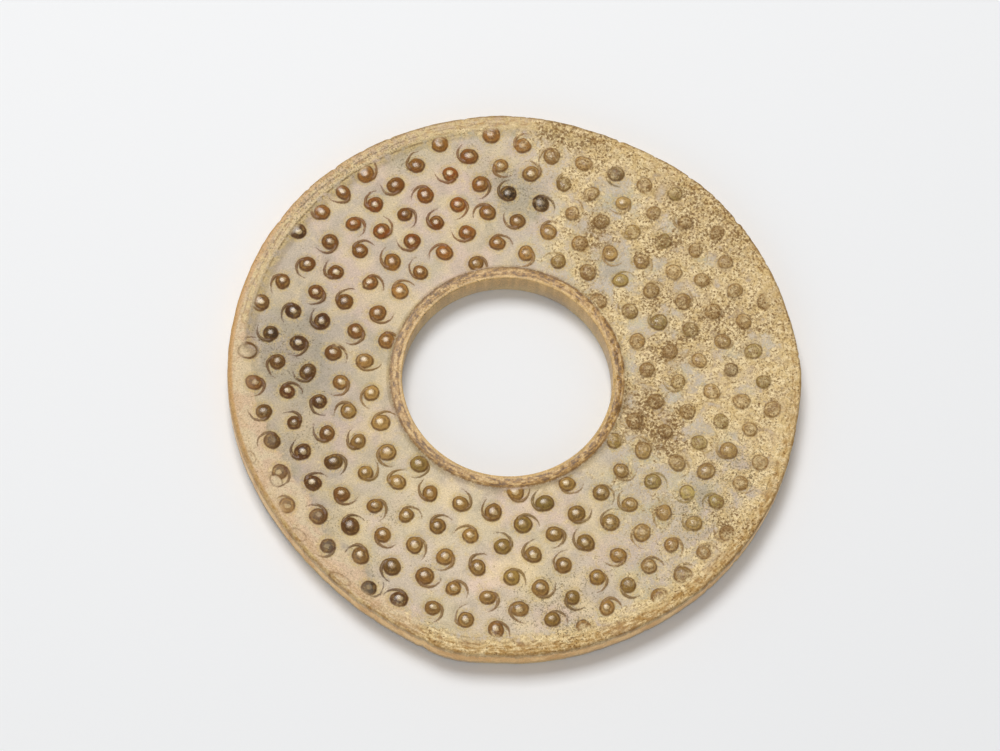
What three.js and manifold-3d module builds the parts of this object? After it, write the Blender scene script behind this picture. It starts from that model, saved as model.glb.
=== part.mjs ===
// Jade bi disc: one flat ring of nephrite, carved on both faces with a field of raised
// grain knobs between a plain rim at its edge and another at its hole. It lies on the
// rims of its underside, with its better face up. The outline is as it has come down:
// worn away on one flank, with a corner left standing beside the wear.
// Millimetres, +Z up. Angles are in degrees, anticlockwise from +X seen from above.
import * as THREE from 'three';
import { mergeGeometries, mergeVertices } from 'three/addons/utils/BufferGeometryUtils.js';
import Module from 'manifold-3d';

// Driving dimensions of the ring
const DISC_RADIUS = 60;
const THICKNESS = 6.6;
const HOLE_RADIUS = 22.1;
const HOLE_OFFSET = new THREE.Vector2(-1.3, -0.1);
const RELIEF = 0.7;               // how far the field is sunk below the rims
const OUTER_RIM_WIDTH = 2.8;
const HOLE_RIM_WIDTH = 2.7;
const RIM_SLOPE = 0.6;            // run of the sloped step from a rim down to the field
const ARRIS = 0.3;                // rounding of the outer edge, as a small chamfer
const ROOT = 1.4;                 // how far a step runs on into the plate, as a multiple

// How finely round outlines are cut. The plate's two are hidden inside the rims.
const RIM_SEGMENTS = 60;
const HOLE_SEGMENTS = 48;
const PLATE_SIDES = 24;
const PLATE_RADIUS = DISC_RADIUS - OUTER_RIM_WIDTH + 0.5;
const PLATE_HOLE_RADIUS = HOLE_RADIUS + HOLE_RIM_WIDTH / 2;

// Wear of the outline, as smooth bumps: where it is, how far it reaches to each side,
// and how much radius it adds or takes away
const OUTLINE_WEAR = [
  { name: 'swell', at: 9, reach: 13, radius: 0.5 },
  { name: 'flat', at: 76, reach: 26, radius: -0.95 },
  { name: 'shoulder', at: 145, reach: 43, radius: 0.75 },
  { name: 'worn flank', at: 229, reach: 50, radius: -2.0 },
  { name: 'corner', at: 264, reach: 11, radius: 0.8 },
  { name: 'root of the corner', at: 264, reach: 40, radius: 0.8 },
];

// Along the worn flank the upper edge is also rubbed to a broad slope
const EDGE_WEAR = { at: 212, reach: 50, width: 0.85, depth: 1.1 };

// Grain knobs stand on a skewed grid, which two steps and one knob near the middle fix
const GRID_START = new THREE.Vector2(-0.7, -0.95);
const COLUMN_STEP = { length: 6.88, angle: -11.2 };
const ROW_STEP = { length: 6.55, angle: -128.7 };
const GRID_REACH = 16;
const HAND_ERROR = 0.7;           // the carver's whole range of error, each way
const LOWER_GRID_TURN = 64;       // the underside's grid is turned against the upper one

const UPPER_KNOB_SIDES = 6;
const LOWER_KNOB_SIDES = 5;
const KNOB_RADIUS = 2.1;          // at the field
const KNOB_TOP_RADIUS = 1.15;
const KNOB_BELOW_RIM = 0.06;      // knobs stop just short of the rims, which touch first
const KNOB_ROOT = 0.4;            // part of a knob that is inside the plate

const rad = THREE.MathUtils.degToRad;
const angleOf = (x, y) => THREE.MathUtils.radToDeg(Math.atan2(y, x));

const wasm = await Module();
wasm.setup();

function toSolid(geometry) {
  geometry.deleteAttribute('normal');
  geometry.deleteAttribute('uv');
  const merged = mergeVertices(geometry, 1e-4);
  return new wasm.Manifold(new wasm.Mesh({
    numProp: 3,
    vertProperties: new Float32Array(merged.attributes.position.array),
    triVerts: new Uint32Array(merged.index.array),
  }));
}

function toGeometry(solid) {
  const mesh = solid.getMesh();
  const geometry = new THREE.BufferGeometry();
  geometry.setAttribute('position', new THREE.BufferAttribute(mesh.vertProperties, 3));
  geometry.setIndex(new THREE.BufferAttribute(mesh.triVerts, 1));
  return geometry;
}

// A smooth bump, 1 at its middle and 0 from its reach outwards
function bump(angle, middle, reach) {
  const away = THREE.MathUtils.euclideanModulo(angle - middle + 180, 360) - 180;
  return Math.abs(away) < reach ? Math.cos(rad(90 * away / reach)) ** 2 : 0;
}

function outlineRadius(angle) {
  let radius = DISC_RADIUS;
  for (const wear of OUTLINE_WEAR) {
    radius += wear.radius * bump(angle, wear.at, wear.reach);
  }
  return radius;
}

function rubbedWidth(angle) {
  return EDGE_WEAR.width * bump(angle, EDGE_WEAR.at, EDGE_WEAR.reach);
}

// Moves a point on the edge of the true disc to where it is on the worn one
function wearEdge(point) {
  let radius = Math.hypot(point.x, point.y);
  if (radius < DISC_RADIUS - 2 * ARRIS) {
    return;
  }
  const angle = angleOf(point.x, point.y);
  radius += outlineRadius(angle) - DISC_RADIUS;
  if (point.z > THICKNESS - ARRIS / 2) {
    radius -= rubbedWidth(angle);
  } else if (point.z > THICKNESS / 2) {
    point.z -= EDGE_WEAR.depth * rubbedWidth(angle) / EDGE_WEAR.width;
  }
  point.x = radius * Math.cos(rad(angle));
  point.y = radius * Math.sin(rad(angle));
}

// The middle of the ring is a plate as thick as the ring is at its sunk fields
function makePlate() {
  const across = 3 * DISC_RADIUS;
  const slab = new THREE.BoxGeometry(across, across, THICKNESS - 2 * RELIEF);
  const edge = new THREE.CylinderGeometry(
    PLATE_RADIUS, PLATE_RADIUS, THICKNESS, PLATE_SIDES,
  );
  const hole = new THREE.CylinderGeometry(
    PLATE_HOLE_RADIUS, PLATE_HOLE_RADIUS, THICKNESS, PLATE_SIDES,
  );
  slab.translate(0, 0, THICKNESS / 2);
  edge.rotateX(Math.PI / 2).translate(0, 0, THICKNESS / 2);
  hole.rotateX(Math.PI / 2).translate(HOLE_OFFSET.x, HOLE_OFFSET.y, THICKNESS / 2);
  return toSolid(slab).intersect(toSolid(edge)).subtract(toSolid(hole));
}

// Turns a section, given as radius and height, that ends on the axis or where it began
function turn(section, segments) {
  const points = section.map(([radius, height]) => new THREE.Vector2(radius, height));
  return new THREE.LatheGeometry(points, segments).rotateX(Math.PI / 2);
}

function makeHoleRim() {
  const crest = HOLE_RADIUS + HOLE_RIM_WIDTH;
  const buried = crest + RIM_SLOPE * ROOT;
  const rim = turn([
    [HOLE_RADIUS, 0],
    [crest, 0],
    [buried, RELIEF * ROOT],
    [buried, THICKNESS - RELIEF * ROOT],
    [crest, THICKNESS],
    [HOLE_RADIUS, THICKNESS],
    [HOLE_RADIUS, 0],
  ], HOLE_SEGMENTS);
  return toSolid(rim.translate(HOLE_OFFSET.x, HOLE_OFFSET.y, 0));
}

function makeOuterRim() {
  const crest = DISC_RADIUS - OUTER_RIM_WIDTH;
  const buried = crest - RIM_SLOPE * ROOT;
  const rim = turn([
    [crest, 0],
    [DISC_RADIUS - ARRIS, 0],
    [DISC_RADIUS, ARRIS],
    [DISC_RADIUS, THICKNESS - ARRIS],
    [DISC_RADIUS - ARRIS, THICKNESS],
    [crest, THICKNESS],
    [buried, THICKNESS - RELIEF * ROOT],
    [buried, RELIEF * ROOT],
    [crest, 0],
  ], RIM_SEGMENTS);
  const positions = rim.attributes.position;
  const point = new THREE.Vector3();
  for (let i = 0; i < positions.count; i += 1) {
    point.fromBufferAttribute(positions, i);
    wearEdge(point);
    positions.setXYZ(i, point.x, point.y, point.z);
  }
  return toSolid(rim);
}

// A repeatable number from 0 to 1 for each place of the grid
function chance(row, column, use) {
  const wave = Math.sin(row * 12.9898 + column * 78.233 + use * 37.719) * 43758.5453;
  return wave - Math.floor(wave);
}

// A rim may cover up to half of a knob, but where it is worn away a knob keeps inside
function hasRoom(x, y) {
  const fromMiddle = Math.hypot(x, y);
  const fromHole = Math.hypot(x - HOLE_OFFSET.x, y - HOLE_OFFSET.y);
  const angle = angleOf(x, y);
  const edge = outlineRadius(angle) - rubbedWidth(angle);
  return fromMiddle < DISC_RADIUS - OUTER_RIM_WIDTH - RIM_SLOPE
    && fromMiddle < edge - KNOB_RADIUS
    && fromHole > HOLE_RADIUS + HOLE_RIM_WIDTH + RIM_SLOPE;
}

// The middle of every knob of a face, whose grid is turned by some degrees
function knobPlaces(turned) {
  const places = [];
  const along = rad(COLUMN_STEP.angle + turned);
  const down = rad(ROW_STEP.angle + turned);
  for (let row = -GRID_REACH; row <= GRID_REACH; row += 1) {
    for (let column = -GRID_REACH; column <= GRID_REACH; column += 1) {
      const x = GRID_START.x
        + column * COLUMN_STEP.length * Math.cos(along)
        + row * ROW_STEP.length * Math.cos(down)
        + HAND_ERROR * (chance(row, column, turned) - 0.5);
      const y = GRID_START.y
        + column * COLUMN_STEP.length * Math.sin(along)
        + row * ROW_STEP.length * Math.sin(down)
        + HAND_ERROR * (chance(row, column, turned + 1) - 0.5);
      if (hasRoom(x, y)) {
        places.push(new THREE.Vector2(x, y));
      }
    }
  }
  return places;
}

// The upper face's knob is a low dome in few faces, with a root inside the plate
function upperKnob(place) {
  const field = THICKNESS - RELIEF;
  const section = [
    [0, field - KNOB_ROOT],
    [KNOB_RADIUS, field - KNOB_ROOT],
    [KNOB_RADIUS, field],
    [KNOB_TOP_RADIUS, THICKNESS - KNOB_BELOW_RIM],
    [0, THICKNESS - KNOB_BELOW_RIM],
  ];
  return turn(section, UPPER_KNOB_SIDES).translate(place.x, place.y, 0);
}

// The underside's knob is plainer and comes to a blunt point
function lowerKnob(place) {
  const section = [
    [0, KNOB_BELOW_RIM],
    [KNOB_RADIUS, RELIEF],
    [KNOB_RADIUS, RELIEF + KNOB_ROOT],
    [0, RELIEF + KNOB_ROOT],
  ];
  return turn(section, LOWER_KNOB_SIDES).translate(place.x, place.y, 0);
}

function makeDisc() {
  const upperKnobs = mergeGeometries(knobPlaces(0).map(upperKnob));
  const lowerKnobs = mergeGeometries(knobPlaces(LOWER_GRID_TURN).map(lowerKnob));
  const solid = makePlate()
    .add(makeHoleRim())
    .add(makeOuterRim())
    .add(toSolid(upperKnobs))
    .add(toSolid(lowerKnobs));
  return toGeometry(solid);
}

// Pale grey-green nephrite with an old, soft polish
const jade = new THREE.MeshStandardMaterial({ color: 0xb9a67f, roughness: 0.42, metalness: 0 });

const disc = new THREE.Mesh(makeDisc(), jade);
disc.name = 'bi_disc';

// The part's origin is under the middle of the worn outline, so the disc stands aside
const outline = new THREE.Box3().setFromObject(disc);
const middle = outline.getCenter(new THREE.Vector3());
disc.position.set(-middle.x, -middle.y, 0);

const bi = new THREE.Group();
bi.add(disc);

export default bi;
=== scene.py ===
# Looks of the jade bi disc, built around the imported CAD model.
# The disc is carved again here in full detail, as one closed mesh: the knobs with their
# curling tails, the rims, the wear, the chips and the pits. Lengths of the carving are in
# millimetres, in the disc's own frame with its true middle at x = y = 0, and the mesh is
# scaled to metres at the end. Angles are in degrees, anticlockwise from +X from above.
import math

import bpy
import numpy as np
from mathutils import Matrix, Vector


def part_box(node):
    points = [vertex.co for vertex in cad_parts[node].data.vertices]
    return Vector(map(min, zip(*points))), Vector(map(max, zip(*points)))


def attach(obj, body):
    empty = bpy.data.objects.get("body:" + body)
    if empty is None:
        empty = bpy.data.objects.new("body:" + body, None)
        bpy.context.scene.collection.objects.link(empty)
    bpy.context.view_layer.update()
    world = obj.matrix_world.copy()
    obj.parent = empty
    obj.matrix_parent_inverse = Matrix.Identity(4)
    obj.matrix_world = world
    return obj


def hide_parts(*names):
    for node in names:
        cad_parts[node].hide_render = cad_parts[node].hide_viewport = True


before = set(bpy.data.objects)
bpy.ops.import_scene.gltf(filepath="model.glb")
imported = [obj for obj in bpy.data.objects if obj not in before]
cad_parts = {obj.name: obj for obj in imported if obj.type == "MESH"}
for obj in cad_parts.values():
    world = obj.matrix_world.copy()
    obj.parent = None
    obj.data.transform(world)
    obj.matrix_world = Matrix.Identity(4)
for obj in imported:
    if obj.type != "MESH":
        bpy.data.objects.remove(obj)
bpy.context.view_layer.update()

MM = 0.001
low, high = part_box("bi_disc")
THICKNESS = (high.z - low.z) / MM

# The ring, as the CAD model has it
DISC_RADIUS = 60.0
HOLE_RADIUS = 22.1
HOLE_AT = (-1.3, -0.1)
RELIEF = 0.7
OUTER_RIM_WIDTH = 2.8
HOLE_RIM_WIDTH = 2.7
RIM_SLOPE = 0.6
ARRIS = 0.3
OUTLINE_WEAR = [
    # name, middle angle, reach to each side, radius gained or lost
    ("swell", 9, 13, 0.5),
    ("flat", 76, 26, -0.95),
    ("shoulder", 145, 43, 0.75),
    ("worn flank", 229, 50, -2.0),
    ("corner", 264, 11, 0.8),
    ("root of the corner", 264, 40, 0.8),
]
EDGE_WEAR_AT = 212
EDGE_WEAR_REACH = 50
EDGE_WEAR_WIDTH = 0.85
EDGE_WEAR_DEPTH = 1.1
SOFT_EDGE_WIDTH = 0.45            # the upper edge is rounder on the left

# The grid of knobs, as the CAD model has it
GRID_START = (-0.7, -0.95)
COLUMN_STEP = (6.88, -11.2)
ROW_STEP = (6.55, -128.7)
GRID_REACH = 16
HAND_ERROR = 0.7
LOWER_GRID_TURN = 64
KNOB_RADIUS = 2.1
KNOB_BELOW_RIM = 0.06

# The finer carving of a knob
HEAD_RADIUS = 1.72
HEAD_HEIGHT = RELIEF - KNOB_BELOW_RIM
TAIL_SWEEP = 150                  # degrees round the head
TAIL_REACH = 3.35                 # from the middle of the head to the tip
TAIL_WIDTH = 0.74                 # at the root
TAIL_HEIGHT = 0.34
OVAL_HEADS = 0.07                 # how far a head may be from round, as a share
UNEVEN_HEADS = 0.5                # and how far its outline wanders
TOP_OFFSET = 0.22                 # the pale top, partly wear and partly a painted highlight, is a little off the middle of its head
TOP_STRETCH = 1.25
PALE_TOP_RADIUS = 0.72

# How the tails of the upper face curl, row by row of the grid: the first column, then one
# letter for each knob. The letter is the clock hour that the tip points to, from a for one
# o'clock to l for twelve, seen from above with +Y up. A small letter's tail runs clockwise
# from the head to the tip, and a capital's the other way. A dot is a tail worn faint.
UPPER_TAILS = {
    -8: (-8, ".kDKbkh.k."),
    -7: (-9, ".lifldL.k..."),
    -6: (-9, "LiHfHjb......"),
    -5: (-9, "hlelicgI..c..."),
    -4: (-9, "keLiHe.....l..."),
    -3: (-9, "lhbk.a........."),
    -2: (-9, ".Fkdb.......gi..."),
    -1: (-8, "GgaC...........d"),
    0: (-8, ".Gkgd..........k."),
    1: (-7, "jgdC............"),
    2: (-7, ".FigF..........."),
    3: (-6, "fcEHb.......k.."),
    4: (-5, "iJjkE...BkB..ec"),
    5: (-4, "HkeAakLkcfkhcb"),
    6: (-3, "fbCe.bIKl.fD."),
    7: (-2, ".JbDegadBDc"),
    8: (-1, ".hIFCdfE.."),
    9: (2, ".If.dd"),
}
FAR = 9.0                         # a gap that is too wide to matter
FAINT_TAIL = 0.45                 # how high a faint tail is, as a share of a clear one

# Patches of the upper face: the middle, how far the patch reaches, and how strong it is
CLEAN_IN_CRUST = [
    (18, 43, 5, 1.0), (29, 39, 2.6, 0.9), (37, 31, 3, 0.7), (19, 27, 5.5, 1.0),
    (24.5, 15, 3.4, 0.9), (24, 6, 3, 0.8), (36, 6.5, 2.4, 0.8), (45, 12.5, 3.6, 0.9),
    (33.5, 0, 2.8, 0.9), (39, -6, 3, 0.8), (46, -7.5, 3, 0.8), (40, 4, 2.5, 0.7),
    (49, 3.5, 3, 0.7), (31, 17, 3.5, 0.7), (35, 24, 2.5, 0.6), (27, 29, 2.4, 0.7),
    (52, 15, 2.6, 0.7), (30, -13, 3.5, 0.7), (20, -15, 3, 0.6), (47, -12, 3, 0.6),
    (42, -19, 3.5, 0.7), (50, -20, 3, 0.6), (36, -17, 2.6, 0.6),
]
PITTED = [
    (29, -5, 7, 1.2), (24, -1.5, 3, 0.8), (34, -9, 4, 1.0), (31.5, 10, 4.5, 1.0),
    (28, 21.5, 4, 0.9), (40, 18.5, 6, 0.8), (52, 19, 6, 0.6), (13.5, 36.5, 4.5, 1.0),
    (15, 31, 4, 0.9), (15, 22.5, 3.5, 0.9), (24, -19, 3.5, 0.8), (33, -25, 4.5, 0.9),
    (48, -28, 5, 0.6), (9, 56, 7, 0.8), (33, 47, 9, 0.7), (44, 38, 8, 0.7),
    (29, 36, 4, 0.8), (24, 30, 3, 0.8), (56, 3, 5, 0.4), (1, 57, 3, 1.0),
]
STAINS = [
    (-46, 3, 8, 0.9), (-43.5, -7, 7, 0.8), (-50, -3, 5, 0.6), (-37, -40, 5, 1.0),
    (-27.5, -47, 5, 1.0), (-5, 43.5, 6, 1.0), (-1, 40, 5, 0.9), (-14, 52, 6, 0.3),
    (18, 43.5, 4, 0.8), (13, 41, 3, 0.6), (17, 27, 4.5, 0.8), (10, 27, 4, 0.5),
    (-20, -54, 3.5, 0.9), (-13, -56.5, 3.5, 0.7), (41, -22, 3, 0.5), (37, -26, 3, 0.6),
    (45, 12, 3.5, 0.7), (51, -14, 4, 0.6), (42, -20, 4, 0.6),
]
SPECKLED = [
    (-47, -1, 9, 0.8), (-42, -18, 7, 0.6), (-36, -38, 6, 1.0), (-26, -48, 6, 0.9),
    (-22, -33.5, 5, 0.7), (-13, -42, 5, 0.5), (8, -51, 8, 0.8), (19, -53, 5, 0.8),
    (-12, -57, 4, 0.9), (-29, 46, 5, 0.8), (-14, 50, 7, 0.6), (-4, 42, 7, 0.8),
    (20, -46, 8, 0.5), (36, -40, 6, 0.5), (27, -36, 7, 0.4), (-44, 22, 8, 0.3),
    (14, -44, 5, 0.5), (-58, 2, 5, 0.5), (40, -26, 8, 1.0), (50, -14, 9, 1.0),
]
# The ground is lighter in some broad stretches and darker in others
LIGHTER = [(-10, -40, 22, 0.7), (10, -46, 14, 0.3)]
DARKER = [(-48, 2, 20, 1.0), (-34, 40, 14, 0.4), (-45, -26, 15, 1.0), (-8, 45, 10, 0.4),
          (-20, -52, 9, 0.4), (-36, -40, 9, 0.4)]
BROAD_TONE_CHANGE = 0.26
# Knobs at the worn border are cut down to flat ovals: middle, half length and width, turn
OVAL_SCARS = [
    (-55.8, -1.7, 1.9, 1.5, 10), (-39.9, -40.4, 1.8, 1.0, -25), (-30.1, -48.7, 2.2, 0.9, -22),
    (-51.9, -24.9, 1.3, 0.8, -50), (-46.0, -29.3, 1.4, 1.0, -40),
]
# Nicks and small steps of the edge: where, how wide in degrees, and how deep
NICKS = [
    (74, 0.8, 0.35), (66, 0.6, 0.15), (57.5, 0.8, 0.25), (50.5, 0.5, 0.15), (44, 1.2, 0.35),
    (33, 0.7, 0.12), (12, 0.7, 0.2), (-9, 0.8, 0.12), (-33, 0.9, 0.18), (-41, 0.6, 0.15),
    (-56, 0.8, 0.12), (259, 1.6, 0.3), (248, 0.8, 0.12), (107, 0.9, 0.15), (123, 0.8, 0.22),
    (129, 1.0, 0.15), (136, 0.8, 0.22), (143, 0.7, 0.18), (152, 0.8, 0.12), (94, 0.6, 0.12),
]

# How finely the disc is meshed before the flat parts are thinned out
AROUND = 1500
UPPER_RINGS = 170
LOWER_RINGS = 110
WALL_RINGS = 16
CORNER_RINGS = 6
FINAL_TRIANGLES = 190000


def smooth(start, end, value):
    """0 at start, 1 at end, with a soft step between"""
    t = np.clip((value - start) / (end - start), 0, 1)
    return t * t * (3 - 2 * t)


def bump(angle, middle, reach):
    away = (angle - middle + 180) % 360 - 180
    return np.where(np.abs(away) < reach, np.cos(np.radians(90 * away / reach)) ** 2, 0)


def angle_of(x, y):
    return np.degrees(np.arctan2(y, x))


def chance(row, column, use):
    """A repeatable number from 0 to 1 for each place of a grid, as in the CAD model"""
    wave = np.sin(row * 12.9898 + column * 78.233 + use * 37.719) * 43758.5453
    return wave - np.floor(wave)


def blobs(x, y, size, use):
    """Smooth noise from 0 to 1, in blobs of about that size"""
    turn = use * 1.7
    u = (x * math.cos(turn) - y * math.sin(turn)) / size
    v = (x * math.sin(turn) + y * math.cos(turn)) / size
    i, j = np.floor(u), np.floor(v)
    u, v = smooth(0, 1, u - i), smooth(0, 1, v - j)
    near = chance(i, j, use) * (1 - u) + chance(i + 1, j, use) * u
    far = chance(i, j + 1, use) * (1 - u) + chance(i + 1, j + 1, use) * u
    return near * (1 - v) + far * v


def cloud(x, y, size, use, octaves=4):
    """Noise from 0 to 1 with finer and finer blobs in it"""
    total = 0
    for octave in range(octaves):
        total = total + blobs(x, y, size / 2 ** octave, use + octave) / 2 ** octave
    return total / (2 - 2 ** (1 - octaves))


def spot(x, y, at, size):
    """A soft round patch, 1 at its middle"""
    return np.exp(-((x - at[0]) ** 2 + (y - at[1]) ** 2) / size ** 2)


def outline_radius(angle):
    radius = DISC_RADIUS
    for _, middle, reach, change in OUTLINE_WEAR:
        radius = radius + change * bump(angle, middle, reach)
    return radius


def rubbed(angle):
    """1 in the middle of the rubbed upper edge and 0 away from it"""
    return bump(angle, EDGE_WEAR_AT, EDGE_WEAR_REACH)


def ragged_outline(angle):
    """The outline with its small unevenness and nicks"""
    x, y = DISC_RADIUS * np.cos(np.radians(angle)), DISC_RADIUS * np.sin(np.radians(angle))
    uneven = 0.22 * (cloud(x, y, 7, 31) - 0.5) + 0.16 * (cloud(x, y, 1.3, 37) - 0.5)
    for middle, reach, depth in NICKS:
        uneven = uneven - depth * bump(angle, middle, reach)
    return outline_radius(angle) + uneven


def grid_steps(turned):
    steps = []
    for length, angle in (COLUMN_STEP, ROW_STEP):
        turn = math.radians(angle + turned)
        steps.append((length * math.cos(turn), length * math.sin(turn)))
    return steps


def has_room(x, y):
    """The CAD model's rule for which places of the grid get a knob"""
    angle = angle_of(x, y)
    edge = outline_radius(angle) - EDGE_WEAR_WIDTH * rubbed(angle)
    from_middle = np.hypot(x, y)
    from_hole = np.hypot(x - HOLE_AT[0], y - HOLE_AT[1])
    inside = from_middle < DISC_RADIUS - OUTER_RIM_WIDTH - RIM_SLOPE
    return inside & (from_middle < edge - KNOB_RADIUS) & (
        from_hole > HOLE_RADIUS + HOLE_RIM_WIDTH + RIM_SLOPE
    )


def read_tails(grid):
    """Lays the tails of the upper face as UPPER_TAILS says"""
    for row, (first, letters) in UPPER_TAILS.items():
        for step, letter in enumerate(letters):
            place = (row + GRID_REACH, first + step + GRID_REACH)
            if letter == ".":
                grid["clear"][place] = FAINT_TAIL
                continue
            hour = ord(letter.lower()) - ord("a") + 1
            grid["tip"][place] = 90 - 30 * hour
            grid["winds"][place] = -1 if letter.islower() else 1


def make_grid(turned):
    """Every knob of one face: where it is, and how its tail lies"""
    (ax, ay), (bx, by) = grid_steps(turned)
    row, column = np.mgrid[-GRID_REACH:GRID_REACH + 1, -GRID_REACH:GRID_REACH + 1]
    x = GRID_START[0] + column * ax + row * bx
    y = GRID_START[1] + column * ay + row * by
    x = x + HAND_ERROR * (chance(row, column, turned) - 0.5)
    y = y + HAND_ERROR * (chance(row, column, turned + 1) - 0.5)
    return {
        "turned": turned,
        "x": x,
        "y": y,
        "alive": has_room(x, y),
        "tip": 360 * chance(row, column, turned + 2),
        "winds": np.where(chance(row, column, turned + 3) > 0.5, 1, -1),
        "clear": np.ones_like(x),
        "size": 0.90 + 0.18 * chance(row, column, turned + 4),
        "tone": chance(row, column, turned + 5),
        "oval": OVAL_HEADS * (2 * chance(row, column, turned + 6) - 1),
        "lean": 360 * chance(row, column, turned + 7),
    }


def knobs(x, y, grid):
    """Height above the field, each point's knob tone, and how far it is outside of the
    nearest head, tail and pale top (partly worn, partly a painted highlight), or less than 0 inside"""
    (ax, ay), (bx, by) = grid_steps(grid["turned"])
    span = ax * by - ay * bx
    dx, dy = x - GRID_START[0], y - GRID_START[1]
    near_column = np.rint((dx * by - dy * bx) / span).astype(int)
    near_row = np.rint((ax * dy - ay * dx) / span).astype(int)
    height = np.zeros_like(x)
    tone = np.zeros_like(x)
    head_gap = np.full_like(x, FAR)
    tail_gap = np.full_like(x, FAR)
    top_gap = np.full_like(x, FAR)
    uneven = UNEVEN_HEADS * (cloud(x, y, 2.2, 93, 3) - 0.5)
    for step_row in (-1, 0, 1):
        for step_column in (-1, 0, 1):
            r = np.clip(near_row + step_row + GRID_REACH, 0, 2 * GRID_REACH)
            c = np.clip(near_column + step_column + GRID_REACH, 0, 2 * GRID_REACH)
            kx, ky = x - grid["x"][r, c], y - grid["y"][r, c]
            lean = np.radians(grid["lean"][r, c])
            turned = np.arctan2(ky, kx) - lean
            away = np.hypot(kx, ky)
            away = away * (1 + grid["oval"][r, c] * np.cos(2 * turned))
            away = away + uneven * smooth(0.3, 1.3, away)
            top_x, top_y = kx - TOP_OFFSET * np.cos(lean), ky - TOP_OFFSET * np.sin(lean)
            alive = grid["alive"][r, c] & (away < TAIL_REACH + 0.5)
            size = grid["size"][r, c]
            winds = grid["winds"][r, c]
            clear = grid["clear"][r, c]
            root = grid["tip"][r, c] - winds * TAIL_SWEEP
            along = (winds * (angle_of(kx, ky) - root)) % 360 / TAIL_SWEEP
            radius = HEAD_RADIUS * size
            dome = HEAD_HEIGHT * (1 - np.minimum(away / radius, 1) ** 2.4) ** 0.7
            inside = np.minimum(along, 1)
            outer = radius + (TAIL_REACH - radius) * inside ** 1.1
            width = TAIL_WIDTH * (0.4 + 0.6 * clear) * (1 - inside ** 2) + 1e-3
            across = np.abs(away - (outer - width / 2)) / (width / 2)
            lift = clear * (TAIL_HEIGHT * np.sqrt(1 - inside) + 0.05)
            ridge = lift * np.maximum(1 - across ** 2, 0) ** 0.6 * smooth(0, 0.12, along)
            ridge = np.where((along < 1) & alive, ridge, 0)
            dome = np.where(alive, dome, 0)
            height = np.maximum(height, np.maximum(dome, ridge))
            past_tip = np.maximum(along - 1, 0) * math.radians(TAIL_SWEEP) * TAIL_REACH
            beside = np.hypot((across - 1) * width / 2, past_tip) * np.sign(across - 1 + past_tip)
            from_head = np.where(alive, away - radius, FAR)
            closer = from_head < head_gap
            head_gap = np.where(closer, from_head, head_gap)
            tail_gap = np.where(alive, np.minimum(tail_gap, beside), tail_gap)
            from_top = np.hypot(top_x, TOP_STRETCH * top_y) - PALE_TOP_RADIUS
            top_gap = np.where(alive, np.minimum(top_gap, from_top), top_gap)
            tone = np.where(closer, grid["tone"][r, c], tone)
    return height, tone, head_gap, tail_gap, top_gap


UPPER_GRID = make_grid(0)
read_tails(UPPER_GRID)
LOWER_GRID = make_grid(LOWER_GRID_TURN)


def patches(x, y, places):
    """How strongly a list of soft patches covers each point, from 0 to 1"""
    total = np.zeros_like(x)
    for middle_x, middle_y, reach, strength in places:
        total = total + strength * spot(x, y, (middle_x, middle_y), reach)
    return np.clip(total, 0, 1)


def from_edge(x, y):
    """How far a point is from the worn outline"""
    return outline_radius(angle_of(x, y)) - np.hypot(x, y)


def crust_share(x, y):
    """Where the sandy burial crust covers the upper face: most of its right half"""
    angle = angle_of(x, y)
    ragged = 14 * (cloud(x, y, 13, 11) - 0.5) + 7 * (cloud(x, y, 4, 17) - 0.5)
    side = smooth(-2, 27, x + 0.30 * (y - 12) + ragged)
    side = 0.9 * side * (1 - 0.55 * smooth(-8, -24, y) * smooth(52, 40, x))
    border = smooth(7, 3.5, from_edge(x, y) + 0.25 * ragged) * bump(angle, 15, 105) ** 0.3
    low_border = smooth(5.5, 3, from_edge(x, y) + 0.2 * ragged) * bump(angle, 280, 34) ** 0.5
    share = np.maximum(np.maximum(side, border), 0.8 * low_border)
    return np.clip(share - 0.68 * patches(x, y, CLEAN_IN_CRUST), 0, 1)


def erosion(x, y):
    """Where the border of the worn flank has lost its skin"""
    angle = angle_of(x, y)
    width = 6.8 * bump(angle, 216, 47) ** 0.4
    ragged = 3.6 * (cloud(x, y, 5, 61) - 0.5) + 1.6 * (cloud(x, y, 1.5, 67) - 0.5)
    return smooth(2.4, -1.2, from_edge(x, y) + ragged - width) * smooth(0.5, 2.5, width)


def rim_level(x, y):
    """0 on the sunk field and 1 on the rims. Crust and wear soften the outer rim's step"""
    from_hole = np.hypot(x - HOLE_AT[0], y - HOLE_AT[1])
    angle = angle_of(x, y)
    outer = DISC_RADIUS - OUTER_RIM_WIDTH
    inner = HOLE_RADIUS + HOLE_RIM_WIDTH
    buried = np.maximum(bump(angle, 15, 85), bump(angle, 216, 50)) ** 0.5
    run = RIM_SLOPE + 1.6 + 1.0 * buried
    on_outer = smooth(outer - run, outer + 0.4, np.hypot(x, y))
    on_hole = 1 - smooth(inner, inner + RIM_SLOPE, from_hole)
    return np.maximum(on_outer, on_hole)


def rim_lines(x, y):
    """Two broken lines that follow the outer rim, where it is neither crusted nor worn"""
    angle = angle_of(x, y)
    reach = np.maximum(bump(angle, 140, 62), bump(angle, 277, 22)) ** 0.4
    broken = smooth(0.34, 0.52, cloud(x, y, 6, 71))
    inner_line = np.exp(-((np.hypot(x, y) - 56.9) / 0.28) ** 2)
    outer_line = np.exp(-((np.hypot(x, y) - 58.6) / 0.2) ** 2)
    outer_line = outer_line * smooth(0.5, 0.62, cloud(x, y, 9, 73))
    return np.maximum(inner_line, outer_line) * reach * broken


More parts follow.
